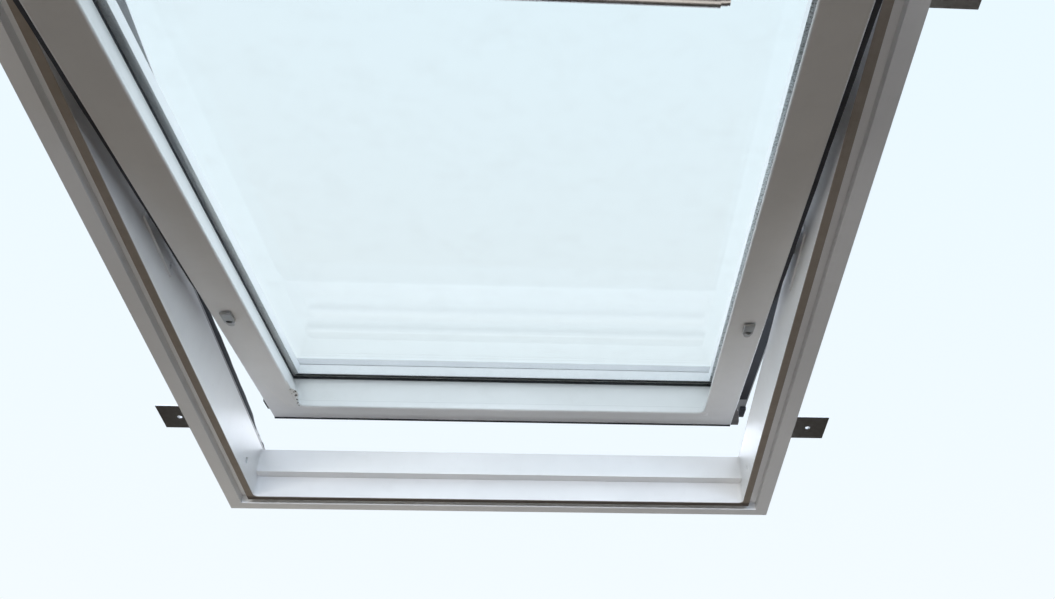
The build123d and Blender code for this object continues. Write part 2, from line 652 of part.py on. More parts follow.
with BuildPart() as glazing_blocks:
    with BuildSketch(placed(SASH, Plane.XY.offset(vz(GLASS_IN)))):
        e = (REBATE + GLASS_EDGE) / 2
        for s in (1, -1):
            with Locations((s * 230, SASH_BOTTOM + e), (s * 230, SASH_TOP - e)):
                Rectangle(60.0, GLASS_EDGE - REBATE)
            with Locations((s * (SW - e), -400), (s * (SW - e), 400)):
                Rectangle(GLASS_EDGE - REBATE, 60.0)
    extrude(amount=v3 - GLASS_IN)
finish(glazing_blocks, "glazing_blocks")

# Strips that hold the glass from outside on the upper half.
strips = []
for s in (1, -1):
    strips.append(profile_y(SASH, mirror_pts(s, [(SW, vz(SASH_D)), (SW, vz(SASH_D + 1.5)), (SW - 24, vz(SASH_D + 1.5)),
                                                 (SW - 25.5, vz(SASH_D))]), -COVER_START + 4, SASH_TOP))
strips.append(profile_x(SASH, [(SASH_TOP, vz(SASH_D)), (SASH_TOP, vz(SASH_D + 1.5)), (SASH_TOP - 24, vz(SASH_D + 1.5)),
                               (SASH_TOP - 25.5, vz(SASH_D))], -(SW - 25.7), SW - 25.7))
with BuildPart() as glass_retainers:
    for strip in strips:
        add(strip.part)
finish(glass_retainers, "glass_retainers")

# Black flange and outer covers of the lower half, which swing with the sash.
COVER_V = 86.5
CX = FLANGE_X + 0.2                  # inside of the covers' skirts
cb = SASH_BOTTOM
for side, s in (("left", 1), ("right", -1)):
    flange = profile_y(SASH, mirror_pts(s, [(SW, vz(FLANGE_D)), (FLANGE_X, vz(FLANGE_D)), (FLANGE_X, vz(FLANGE_D + 3)),
                                            (SW + 2.5, vz(FLANGE_D + 3)), (SW + 2.5, vz(FLANGE_D + 20)), (SW, vz(FLANGE_D + 20))]),
                       cb - 7, -COVER_START - 6)
    finish(flange, "sash_flange_" + side)
    sheet = profile_y(SASH, mirror_pts(s, [(CX, vz(FLANGE_D)), (CX + 1.5, vz(FLANGE_D)), (CX + 1.5, vz(COVER_V + 1.5)),
                                           (SW - 25.5, vz(COVER_V + 1.5)), (SW - 25.5, vz(SASH_D)), (SW - 24, vz(SASH_D)),
                                           (SW - 24, vz(COVER_V)), (CX, vz(COVER_V))]),
                      cb - 7, -COVER_START - 6)
    with BuildPart() as cover:
        add(sheet.part)
        # closed upper end
        with BuildSketch(placed(SASH, Plane.XY.offset(vz(SASH_D + 0.2)))):
            with Locations((s * (SW - 24 + CX) / 2, -COVER_START - 6.75)):
                Rectangle(CX - SW + 24, 1.5)
        extrude(amount=COVER_V - SASH_D - 0.2)
    finish(cover, "sash_cover_" + side)

bottom_flange = profile_x(SASH, [(cb, vz(FLANGE_D)), (cb, vz(FLANGE_D + 20)), (cb - 2.5, vz(FLANGE_D + 20)),
                                 (cb - 2.5, vz(FLANGE_D + 3)), (cb - 34, vz(FLANGE_D + 3)), (cb - 34, vz(FLANGE_D))],
                          -(SW - 0.2), SW - 0.2)
finish(bottom_flange, "sash_flange_bottom")

front = [(cb - DRIP, vz(FLANGE_D)), (cb - DRIP + 1.5, vz(FLANGE_D)), (cb - DRIP + 1.5, vz(COVER_V - 4)),
         (cb - 7.2, vz(COVER_V)), (cb - 7.2, vz(COVER_V + 1.5)), (cb - DRIP, vz(COVER_V - 2.5))]
strips = [profile_x(SASH, front, -(CX + 1.5), CX + 1.5),
          profile_x(SASH, [(cb - 7.2, vz(COVER_V)), (cb + 24, vz(COVER_V)), (cb + 24, vz(SASH_D)), (cb + 25.5, vz(SASH_D)),
                           (cb + 25.5, vz(COVER_V + 1.5)), (cb - 7.2, vz(COVER_V + 1.5))], -(SW - 25.7), SW - 25.7)]
with BuildPart() as sash_bottom_cover:
    for strip in strips:
        add(strip.part)
    for s in (1, -1):
        # closed cheeks, and a return below them at each corner
        with BuildSketch(placed(SASH, Plane(origin=(s * CX, 0, 0), x_dir=(0, 1, 0), z_dir=(1, 0, 0)))):
            with BuildLine():
                Polyline((cb - DRIP, vz(FLANGE_D)), (cb - DRIP, vz(COVER_V - 2.5)), (cb - 7.2, vz(COVER_V + 1.5)),
                         (cb - 7.2, vz(FLANGE_D)), close=True)
            make_face()
        extrude(amount=s * 1.5)
        with BuildSketch(placed(SASH, Plane.XY.offset(vz(FLANGE_D)))):
            with Locations((s * (346.0 + CX + 1.5) / 2, cb - (DRIP + 7.2) / 2)):
                Rectangle(CX + 1.5 - 346.0, DRIP - 7.2)
        extrude(amount=1.5)
finish(sash_bottom_cover, "sash_bottom_cover")

# Rubber blocks under the returns at the lower corners.
with BuildPart() as corner_blocks:
    for s in (1, -1):
        with BuildSketch(placed(SASH, Plane(origin=(s * 355.4, cb - 51.5, vz(41)), x_dir=(0, 1, 0), z_dir=(1, 0, 0)))):
            RectangleRounded(35.0, 6.0, 2.4)
        extrude(amount=s * 9.0)
    fillet(corner_blocks.edges().filter_by(Axis.X, reverse=True).filter_by(GeomType.LINE), 0.8)
finish(corner_blocks, "corner_blocks")

# Thin seal along the bottom rail's lower edge, wrapped round that edge.
SEAL_UP, SEAL_OUT, SEAL_T = 2.2, 0.8, 1.7
q = 1.5 * (1 - cos(radians(45)))
with BuildPart() as sash_lower_seal:
    with BuildSketch(placed(SASH, Plane(origin=(-(SW - 1.0), cb, vz(0)), x_dir=(0, 1, 0), z_dir=(1, 0, 0)))):
        with BuildLine():
            Polyline((0, 1.5), (0, 9.0), (-SEAL_OUT, 8.0), (-SEAL_OUT, -0.6), (-0.3, -SEAL_T), (SEAL_UP, -SEAL_T),
                     (SEAL_UP, 0), (1.5, 0))
            ThreePointArc((1.5, 0), (q, q), (0, 1.5))
        make_face()
    extrude(amount=2 * (SW - 1.0))
finish(sash_lower_seal, "sash_lower_seal")

# Blind hooks on the room faces of the stiles: a thin shield, its upper end
# standing off the stile, that narrows to a rounded tip down the slope.
HOOK_X = SW - 19.3
HOOK_V = 4.4
HOOK_GAP = 2.2
for side, s in (("left", 1), ("right", -1)):
    hx, hy = s * HOOK_X, SASH_BOTTOM + HOOK_U
    with BuildPart() as hook:
        with BuildSketch(placed(SASH, Plane(origin=(hx, hy, vz(-HOOK_V)), x_dir=(1, 0, 0), z_dir=(0, 0, 1)))) as shield:
            with BuildLine():
                Polyline((-4.2, -9.6), (-6.6, -3.0), (-6.6, 22.0), (6.6, 22.0), (6.6, -3.0), (4.2, -9.6))
                ThreePointArc((4.2, -9.6), (0, -14.0), (-4.2, -9.6))
            make_face()
        extrude(amount=HOOK_V)
        fillet(hook.faces().sort_by(SASH_OUT)[0].edges(), 0.9)
        # the upper end stands off the stile
        with BuildSketch(placed(SASH, Plane(origin=(hx, hy + 17.0, vz(-HOOK_GAP)), x_dir=(1, 0, 0), z_dir=(0, 0, 1)))):
            Rectangle(20.0, 20.0)
        extrude(amount=4.0, mode=Mode.SUBTRACT)
        with BuildSketch(placed(SASH, Plane(origin=(hx, hy, vz(-HOOK_V - 1)), x_dir=(1, 0, 0), z_dir=(0, 0, 1)))):
            Circle(1.6)
        extrude(amount=10.0, mode=Mode.SUBTRACT)
        with BuildSketch(placed(SASH, Plane(origin=(hx, hy, vz(-HOOK_V - 1)), x_dir=(1, 0, 0), z_dir=(0, 0, 1)))):
            Circle(3.7)
        extrude(amount=HOOK_V + 1 - 1.2, mode=Mode.SUBTRACT)
    finish(hook, "blind_hook_" + side)

with BuildPart() as blind_hook_screws:
    for s in (1, -1):
        hx, hy = s * HOOK_X, SASH_BOTTOM + HOOK_U
        with BuildSketch(placed(SASH, Plane(origin=(hx, hy, vz(-2.8)), x_dir=(1, 0, 0), z_dir=(0, 0, 1)))):
            Circle(2.5)
        extrude(amount=1.6)
        with BuildSketch(placed(SASH, Plane(origin=(hx, hy, vz(-2.8)), x_dir=(1, 0, 0), z_dir=(0, 0, 1)))):
            Circle(1.6)
        extrude(amount=9.5)
        with BuildSketch(placed(SASH, Plane(origin=(hx, hy, vz(-2.8)), x_dir=(1, 0, 0), z_dir=(0, 0, 1)))):
            Rectangle(3.0, 0.8)
            Rectangle(0.8, 3.0)
        extrude(amount=0.9, mode=Mode.SUBTRACT)
finish(blind_hook_screws, "blind_hook_screws")

# ------------------------------------------------- control bar and lock
# The bar hangs on two brackets on the top rail's room face and turns about
# an axis along X. It stands as pulled down, with the lock drawn back.
BAR_Y, BAR_V = 512.0, -14.0          # turning axis
BAR_R = 30.0                         # arm length
BAR_DOWN = 52.0                      # how far the arms point into the room
bar_y = BAR_Y - BAR_R * cos(radians(BAR_DOWN))
bar_v = BAR_V - BAR_R * sin(radians(BAR_DOWN))

with BuildPart() as bar_brackets:
    for s in (1, -1):
        with BuildSketch(placed(SASH, Plane(origin=(s * 196.0, 0, 0), x_dir=(0, 1, 0), z_dir=(1, 0, 0)))):
            with BuildLine():
                Polyline((BAR_Y - 12, vz(0)), (BAR_Y - 7, vz(BAR_V - 7)), (BAR_Y + 7, vz(BAR_V - 7)),
                         (BAR_Y + 16, vz(0)), close=True)
            make_face()
            with Locations((BAR_Y, vz(BAR_V))):
                Circle(3.05, mode=Mode.SUBTRACT)
        extrude(amount=s * 10.0)
        # foot with a screw hole
        with BuildSketch(placed(SASH, Plane(origin=(s * 210.0, 522, vz(-2.5)), x_dir=(1, 0, 0), z_dir=(0, 0, 1)))):
            Rectangle(36.0, 14.0)
        extrude(amount=2.5)
        with BuildSketch(placed(SASH, Plane(origin=(0, 0, vz(-3)), x_dir=(1, 0, 0), z_dir=(0, 0, 1)))):
            with Locations((s * 220, 522)):
                Circle(1.6)
        extrude(amount=4, mode=Mode.SUBTRACT)
finish(bar_brackets, "bar_brackets")

with BuildPart() as bar_pins:
    for s in (1, -1):
        with BuildSketch(placed(SASH, Plane(origin=(s * 194.0, BAR_Y, vz(BAR_V)), x_dir=(0, 1, 0), z_dir=(s, 0, 0)))):
            Circle(3.0)
        extrude(amount=19.0)
finish(bar_pins, "bar_pins")

with BuildPart() as bar_arms:
    for s in (1, -1):
        with BuildSketch(placed(SASH, Plane(origin=(s * 207.0, BAR_Y, vz(BAR_V)), x_dir=(0, 1, 0), z_dir=(1, 0, 0)))):
            ey, ez = bar_y - BAR_Y, bar_v - BAR_V
            with BuildLine():
                n = BAR_R
                ny, nz = -ez / n * 5.0, ey / n * 5.0
                Polyline((ny, nz), (ey + ny, ez + nz), (ey - ny, ez - nz), (-ny, -nz), close=True)
            make_face()
            Circle(6.5)
            with Locations((ey, ez)):
                Circle(6.0)
            Circle(3.0, mode=Mode.SUBTRACT)
            with Locations((ey, ez)):
                Circle(3.5, mode=Mode.SUBTRACT)
        extrude(amount=s * 5.0)
finish(bar_arms, "bar_arms")

with BuildPart() as control_bar:
    # a round grip between the arms with stub ends that pass through them
    with BuildSketch(placed(SASH, Plane(origin=(-206.8, bar_y, vz(bar_v)), x_dir=(0, 1, 0), z_dir=(1, 0, 0)))):
        Circle(7.5)
        Circle(5.5, mode=Mode.SUBTRACT)
    extrude(amount=413.6)
    for s in (1, -1):
        with BuildSketch(placed(SASH, Plane(origin=(s * 203.0, bar_y, vz(bar_v)), x_dir=(0, 1, 0), z_dir=(s, 0, 0)))):
            Circle(5.6)
        extrude(amount=3.8)
        with BuildSketch(placed(SASH, Plane(origin=(s * 206.8, bar_y, vz(bar_v)), x_dir=(0, 1, 0), z_dir=(s, 0, 0)))):
            Circle(3.5)
        extrude(amount=5.2)
        with BuildSketch(placed(SASH, Plane(origin=(s * 212.0, bar_y, vz(bar_v)), x_dir=(0, 1, 0), z_dir=(s, 0, 0)))):
            Circle(5.5)
        extrude(amount=2.0)
finish(control_bar, "control_bar")

# Lock case on the room face of the top rail, open at the top for the tongue.
TV0, TV1 = -9.0, -4.0                # tongue, in depth from the room face
with BuildPart() as lock_case:
    with BuildSketch(placed(SASH, Plane(origin=(0, 0, vz(-12.5)), x_dir=(1, 0, 0), z_dir=(0, 0, 1)))):
        with Locations((0, 515.5)):
            RectangleRounded(84.0, 38.0, 4.0)
    extrude(amount=12.5)
    with BuildSketch(placed(SASH, Plane(origin=(0, 0, vz(TV0 - 0.4)), x_dir=(1, 0, 0), z_dir=(0, 0, 1)))):
        with Locations((0, 517.5)):
            Rectangle(21.0, 36.0)
    extrude(amount=TV1 - TV0 + 0.8, mode=Mode.SUBTRACT)
    with BuildSketch(placed(SASH, Plane(origin=(0, 0, vz(-13)), x_dir=(1, 0, 0), z_dir=(0, 0, 1)))):
        with Locations((-34, 522), (34, 522)):
            Circle(1.6)
    extrude(amount=14, mode=Mode.SUBTRACT)
finish(lock_case, "lock_case")

with BuildPart() as lock_tongue:
    with BuildSketch(placed(SASH, Plane(origin=(0, 0, vz(TV0)), x_dir=(1, 0, 0), z_dir=(0, 0, 1)))):
        with Locations((0, 517.0)):
            Rectangle(20.0, 34.0)
    extrude(amount=TV1 - TV0)
    chamfer(lock_tongue.faces().sort_by(Axis.Y)[-1].edges().filter_by(Axis.X).sort_by(Axis.Z)[0], 1.6)
finish(lock_tongue, "lock_tongue")

with BuildPart() as fitting_screws:
    for (x, y, v) in ((-34, 522, -12.5), (34, 522, -12.5), (-220, 522, -2.5), (220, 522, -2.5)):
        with BuildSketch(placed(SASH, Plane(origin=(x, y, vz(v - 1.8)), x_dir=(1, 0, 0), z_dir=(0, 0, 1)))):
            Circle(3.0)
        extrude(amount=1.8)
        with BuildSketch(placed(SASH, Plane(origin=(x, y, vz(v - 1.8)), x_dir=(1, 0, 0), z_dir=(0, 0, 1)))):
            Circle(1.6)
        extrude(amount=1.8 - v + 5.5)
        with BuildSketch(placed(SASH, Plane(origin=(x, y, vz(v - 1.8)), x_dir=(1, 0, 0), z_dir=(0, 0, 1)))):
            Rectangle(3.2, 0.8)
            Rectangle(0.8, 3.2)
        extrude(amount=1.0, mode=Mode.SUBTRACT)
finish(fitting_screws, "fitting_screws")
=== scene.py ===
import bmesh
import bpy
import json
import random
from math import atan2, cos, pi, radians, sin
from mathutils import Matrix, Vector, noise as mnoise


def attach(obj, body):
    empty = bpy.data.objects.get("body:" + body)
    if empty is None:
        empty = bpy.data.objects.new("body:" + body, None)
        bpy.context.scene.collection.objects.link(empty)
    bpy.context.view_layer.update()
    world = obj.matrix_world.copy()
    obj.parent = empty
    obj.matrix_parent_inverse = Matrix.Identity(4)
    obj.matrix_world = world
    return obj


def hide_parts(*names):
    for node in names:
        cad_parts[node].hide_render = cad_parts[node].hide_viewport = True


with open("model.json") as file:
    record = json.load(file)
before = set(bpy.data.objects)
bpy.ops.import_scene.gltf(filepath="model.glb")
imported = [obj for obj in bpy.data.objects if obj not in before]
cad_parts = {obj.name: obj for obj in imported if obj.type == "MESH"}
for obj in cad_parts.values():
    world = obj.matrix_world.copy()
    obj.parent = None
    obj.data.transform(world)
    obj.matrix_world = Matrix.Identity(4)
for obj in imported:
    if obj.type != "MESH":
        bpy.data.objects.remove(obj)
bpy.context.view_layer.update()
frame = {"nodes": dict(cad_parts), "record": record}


# ------------------------------------------------------------ camera, light
def make_camera():
    """The photograph's viewpoint, solved from the window's straight edges."""
    data = bpy.data.cameras.new("camera")
    data.sensor_width = 36.0
    data.lens = 42.32
    data.shift_x = -0.12564
    data.shift_y = -0.01155
    data.clip_start, data.clip_end = 0.02, 60.0
    cam = bpy.data.objects.new("camera", data)
    bpy.context.scene.collection.objects.link(cam)
    right = Vector((-0.99782, 0.06416, -0.0152)).normalized()
    back = Vector((0.0614, 0.8201, -0.56892)).normalized()
    up = back.cross(right).normalized()
    right = up.cross(back).normalized()
    m = Matrix.Identity(4)
    for i in range(3):
        m[i][0], m[i][1], m[i][2] = right[i], up[i], back[i]
    m[0][3], m[1][3], m[2][3] = -0.1113, 1.1041, -0.813
    cam.matrix_world = m
    bpy.context.scene.camera = cam


def area_light(name, where, target, size, power, colour, shine=False, spread=180.0):
    data = bpy.data.lights.new(name, "AREA")
    data.shape = "RECTANGLE"
    data.size, data.size_y = size
    data.energy = power
    data.color = colour
    data.spread = radians(spread)
    ob = bpy.data.objects.new(name, data)
    ob.location = where
    ob.rotation_mode = "QUATERNION"
    ob.rotation_quaternion = (Vector(target) - Vector(where)).to_track_quat("-Z", "Y")
    bpy.context.scene.collection.objects.link(ob)
    ob.visible_camera = False
    ob.visible_glossy = shine
    ob.visible_transmission = False


def make_world():
    """Soft dome: bright above, dim below. What the camera sees is plain and pale."""
    world = bpy.data.worlds.new("studio")
    bpy.context.scene.world = world
    world.use_nodes = True
    nt = world.node_tree
    nt.nodes.clear()
    out = nt.nodes.new("ShaderNodeOutputWorld")
    co = nt.nodes.new("ShaderNodeTexCoord")
    sep = nt.nodes.new("ShaderNodeSeparateXYZ")
    half = nt.nodes.new("ShaderNodeMath")
    half.operation = "MULTIPLY_ADD"
    half.inputs[1].default_value = 0.5
    half.inputs[2].default_value = 0.5
    nt.links.new(co.outputs["Generated"], sep.inputs[0])
    nt.links.new(sep.outputs["Z"], half.inputs[0])

    def dome(stops, strength):
        r = nt.nodes.new("ShaderNodeValToRGB")
        els = r.color_ramp.elements
        while len(els) < len(stops):
            els.new(0.5)
        for e, (pos, c) in zip(els, stops):
            e.position, e.color = pos, (c[0], c[1], c[2], 1)
        bg = nt.nodes.new("ShaderNodeBackground")
        bg.inputs["Strength"].default_value = strength
        nt.links.new(half.outputs[0], r.inputs[0])
        nt.links.new(r.outputs[0], bg.inputs["Color"])
        return bg

    light = dome([(0.485, (0.020, 0.018, 0.016)), (0.515, (0.62, 0.68, 0.76)), (0.70, (0.80, 0.88, 1.0))], DOME)
    seen = dome([(0.30, (0.50, 0.49, 0.47)), (0.52, (0.93, 0.95, 0.97)), (0.90, (0.78, 0.91, 1.0))], 1.04)
    path = nt.nodes.new("ShaderNodeLightPath")
    view = nt.nodes.new("ShaderNodeMath")
    view.operation = "MAXIMUM"
    nt.links.new(path.outputs["Is Camera Ray"], view.inputs[0])
    nt.links.new(path.outputs["Is Transmission Ray"], view.inputs[1])
    mix_s = nt.nodes.new("ShaderNodeMixShader")
    nt.links.new(view.outputs[0], mix_s.inputs[0])
    nt.links.new(light.outputs[0], mix_s.inputs[1])
    nt.links.new(seen.outputs[0], mix_s.inputs[2])
    nt.links.new(mix_s.outputs[0], out.inputs["Surface"])


# --------------------------------------------------------------- materials
def new_material(name):
    m = bpy.data.materials.new(name)
    m.use_nodes = True
    nt = m.node_tree
    nt.nodes.clear()
    out = nt.nodes.new("ShaderNodeOutputMaterial")
    bsdf = nt.nodes.new("ShaderNodeBsdfPrincipled")
    nt.links.new(bsdf.outputs["BSDF"], out.inputs["Surface"])
    return m, nt, bsdf


def coords(nt, scale=(1, 1, 1)):
    co = nt.nodes.new("ShaderNodeTexCoord")
    mp = nt.nodes.new("ShaderNodeMapping")
    mp.inputs["Scale"].default_value = scale
    nt.links.new(co.outputs["Object"], mp.inputs["Vector"])
    return mp.outputs["Vector"]


def noise(nt, vec, scale, detail=3.0, rough=0.55):
    n = nt.nodes.new("ShaderNodeTexNoise")
    n.inputs["Scale"].default_value = scale
    n.inputs["Detail"].default_value = detail
    n.inputs["Roughness"].default_value = rough
    nt.links.new(vec, n.inputs["Vector"])
    return n.outputs["Fac"]


def ramp(nt, fac, stops):
    r = nt.nodes.new("ShaderNodeValToRGB")
    els = r.color_ramp.elements
    while len(els) < len(stops):
        els.new(0.5)
    for e, (p, c) in zip(els, stops):
        e.position = p
        e.color = (c[0], c[1], c[2], 1.0) if len(c) == 3 else c
    nt.links.new(fac, r.inputs[0])
    return r.outputs[0]


def mix(nt, a, b, fac, mode="MIX"):
    m = nt.nodes.new("ShaderNodeMix")
    m.data_type = "RGBA"
    m.blend_type = mode
    if isinstance(fac, float):
        m.inputs["Factor"].default_value = fac
    else:
        nt.links.new(fac, m.inputs["Factor"])
    ins = [s for s in m.inputs if s.type == "RGBA"]
    for sock, v in zip(ins, (a, b)):
        if isinstance(v, tuple):
            sock.default_value = (v[0], v[1], v[2], 1.0)
        else:
            nt.links.new(v, sock)
    return [o for o in m.outputs if o.type == "RGBA"][0]


def math(nt, op, a, b=None):
    m = nt.nodes.new("ShaderNodeMath")
    m.operation = op
    for sock, v in zip(m.inputs, (a, b)):
        if v is None:
            continue
        if isinstance(v, (int, float)):
            sock.default_value = v
        else:
            nt.links.new(v, sock)
    return m.outputs[0]


def bump(nt, bsdf, height, strength, distance=0.001):
    b = nt.nodes.new("ShaderNodeBump")
    b.inputs["Strength"].default_value = strength
    b.inputs["Distance"].default_value = distance
    nt.links.new(height, b.inputs["Height"])
    nt.links.new(b.outputs["Normal"], bsdf.inputs["Normal"])


TILT = radians(8.54)


def dot(nt, vec, direction):
    d = nt.nodes.new("ShaderNodeVectorMath")
    d.operation = "DOT_PRODUCT"
    nt.links.new(vec, d.inputs[0])
    d.inputs[1].default_value = direction
    return d.outputs["Value"]


def band(nt, value, centre, half_width):
    """1 inside a thin band round a value, 0 outside, with soft edges."""
    off = math(nt, "ABSOLUTE", math(nt, "SUBTRACT", value, centre))
    m = nt.nodes.new("ShaderNodeMapRange")
    m.interpolation_type = "SMOOTHSTEP"
    m.inputs["From Min"].default_value = half_width * 0.5
    m.inputs["From Max"].default_value = half_width * 1.5
    m.inputs["To Min"].default_value = 1.0
    m.inputs["To Max"].default_value = 0.0
    nt.links.new(off, m.inputs["Value"])
    return m.outputs["Result"]


def step(nt, value, low, high):
    m = nt.nodes.new("ShaderNodeMapRange")
    m.interpolation_type = "SMOOTHSTEP"
    m.inputs["From Min"].default_value = low
    m.inputs["From Max"].default_value = high
    nt.links.new(value, m.inputs["Value"])
    return m.outputs["Result"]


def scratch(nt, vec, ax, ay, bx, by, width):
    """A thin line between two points of the X, Y plane."""
    dx, dy = bx - ax, by - ay
    n = (dx * dx + dy * dy) ** 0.5
    ux, uy = dx / n, dy / n
    along = dot(nt, vec, (ux, uy, 0.0))
    across = dot(nt, vec, (-uy, ux, 0.0))
    c0 = ax * ux + ay * uy
    line = band(nt, across, -ax * uy + ay * ux, width)
    ends = band(nt, along, c0 + n / 2, n / 2)
    return math(nt, "MULTIPLY", line, ends)


def white_profile(name, tint, lip=False, bead=False, scratches=()):
    """White extruded plastic: soft sheen, faint cloudy dirt and handling marks."""
    m, nt, b = new_material(name)
    v = coords(nt)
    cloud = noise(nt, v, 7.0, 4.0, 0.6)
    smudge = noise(nt, coords(nt, (1, 1, 1)), 34.0, 5.0, 0.65)
    base = ramp(nt, cloud, [(0.3, tint[0]), (0.7, tint[1])])
    dirt = ramp(nt, smudge, [(0.56, (0, 0, 0)), (0.78, (1, 1, 1))])
    base = mix(nt, base, (0.42, 0.40, 0.36), math(nt, "MULTIPLY", dirt, 0.07))
    # short fine handling scratches
    sc = noise(nt, coords(nt, (620.0, 35.0, 90.0)), 1.0, 2.0, 0.5)
    lines = ramp(nt, sc, [(0.70, (0, 0, 0)), (0.74, (1, 1, 1))])
    base = mix(nt, base, (0.60, 0.60, 0.60), math(nt, "MULTIPLY", lines, 0.14))
    h = math(nt, "ADD", math(nt, "MULTIPLY", noise(nt, v, 260.0, 2.0), 0.5), math(nt, "MULTIPLY", noise(nt, v, 18.0, 2.0), 0.9))
    if lip:
        # painted shade: the room face of the lip next to the lining is painted brown as the shade it sits in, near
        # black on the top and bottom lips; worn below is the mask of this painted shade
        z = dot(nt, v, (0.0, 0.0, 1.0))
        ax = math(nt, "ABSOLUTE", dot(nt, v, (1.0, 0.0, 0.0)))
        ay = math(nt, "ABSOLUTE", dot(nt, v, (0.0, 1.0, 0.0)))
        edge = math(nt, "SUBTRACT", 1.0, step(nt, z, -0.0449, -0.0440))
        near = math(nt, "MULTIPLY", math(nt, "SUBTRACT", 1.0, step(nt, ax, 0.3601, 0.3606)),
                    math(nt, "SUBTRACT", 1.0, step(nt, ay, 0.5601, 0.5606)))
        worn = math(nt, "MULTIPLY", edge, near)
        fine = noise(nt, v, 42.0, 5.0, 0.7)
        lip_shade_colour = mix(nt, ramp(nt, fine, [(0.25, (0.25, 0.21, 0.17)), (0.75, (0.32, 0.275, 0.235))]),
                    ramp(nt, fine, [(0.25, (0.075, 0.060, 0.048)), (0.75, (0.11, 0.09, 0.075))]), step(nt, ay, 0.546, 0.552))
        base = mix(nt, base, lip_shade_colour, math(nt, "MULTIPLY", worn, 0.97))
    if bead:
        # fine joint of the snap-in glazing bead, a constant depth behind the room face
        depth = dot(nt, v, (0.0, sin(TILT), cos(TILT)))
        joint = band(nt, depth, 0.019 * cos(TILT) - 0.02713 + 0.0117, 0.00032)
        base = mix(nt, base, (0.33, 0.33, 0.34), math(nt, "MULTIPLY", joint, 0.22))
        h = math(nt, "SUBTRACT", h, math(nt, "MULTIPLY", joint, 0.8))
    for (ax, ay, bx, by, w) in scratches:
        mark = scratch(nt, v, ax, ay, bx, by, w)
        base = mix(nt, base, (0.92, 0.90, 0.84), math(nt, "MULTIPLY", mark, 0.4))
        h = math(nt, "SUBTRACT", h, math(nt, "MULTIPLY", mark, 1.6))
    nt.links.new(base, b.inputs["Base Color"])
    nt.links.new(ramp(nt, smudge, [(0.3, (0.30, 0.30, 0.30)), (0.8, (0.46, 0.46, 0.46))]), b.inputs["Roughness"])
    b.inputs["IOR"].default_value = 1.5
    bump(nt, b, h, 0.12, 0.0006)
    return m


def rubber(name, base=(0.016, 0.017, 0.021)):
    m, nt, b = new_material(name)
    v = coords(nt)
    dust = noise(nt, v, 55.0, 5.0, 0.7)
    col = ramp(nt, dust, [(0.35, base), (0.75, tuple(3.2 * c for c in base))])
    nt.links.new(col, b.inputs["Base Color"])
    nt.links.new(ramp(nt, dust, [(0.3, (0.48, 0.48, 0.48)), (0.8, (0.7, 0.7, 0.7))]), b.inputs["Roughness"])
    bump(nt, b, noise(nt, v, 900.0, 2.0), 0.2, 0.0002)
    return m


def coated_sheet(name):
    """Matte coated aluminium sheet, weathered, with water marks."""
    m, nt, b = new_material(name)
    v = coords(nt)
    cloud = noise(nt, coords(nt, (1.0, 0.35, 1.0)), 11.0, 5.0, 0.62)
    col = ramp(nt, cloud, [(0.25, (0.40, 0.41, 0.42)), (0.55, (0.50, 0.51, 0.52)), (0.8, (0.56, 0.565, 0.57))])
    spots = ramp(nt, noise(nt, v, 90.0, 4.0, 0.7), [(0.62, (0, 0, 0)), (0.7, (1, 1, 1))])
    col = mix(nt, col, (0.30, 0.30, 0.28), math(nt, "MULTIPLY", spots, 0.25))
    nt.links.new(col, b.inputs["Base Color"])
    b.inputs["Metallic"].default_value = 0.35
    nt.links.new(ramp(nt, cloud, [(0.3, (0.42, 0.42, 0.42)), (0.8, (0.6, 0.6, 0.6))]), b.inputs["Roughness"])
    bump(nt, b, noise(nt, v, 700.0, 2.0), 0.18, 0.0003)
    return m


def metal(name, colour, rough, stretch=(1, 1, 1), tarnish=0.15):
    m, nt, b = new_material(name)
    v = coords(nt)
    grain = noise(nt, coords(nt, stretch), 160.0, 3.0, 0.6)
    patch = noise(nt, v, 24.0, 4.0, 0.6)
    dark = tuple(c * (1 - tarnish) for c in colour)
    col = mix(nt, ramp(nt, grain, [(0.3, dark), (0.7, colour)]), tuple(c * 0.7 for c in colour),
              math(nt, "MULTIPLY", ramp(nt, patch, [(0.5, (0, 0, 0)), (0.8, (1, 1, 1))]), 0.3))
    nt.links.new(col, b.inputs["Base Color"])
    b.inputs["Metallic"].default_value = 1.0
    nt.links.new(ramp(nt, grain, [(0.2, (rough * 0.8,) * 3), (0.8, (rough * 1.25,) * 3)]), b.inputs["Roughness"])
    bump(nt, b, grain, 0.15, 0.0002)
    return m


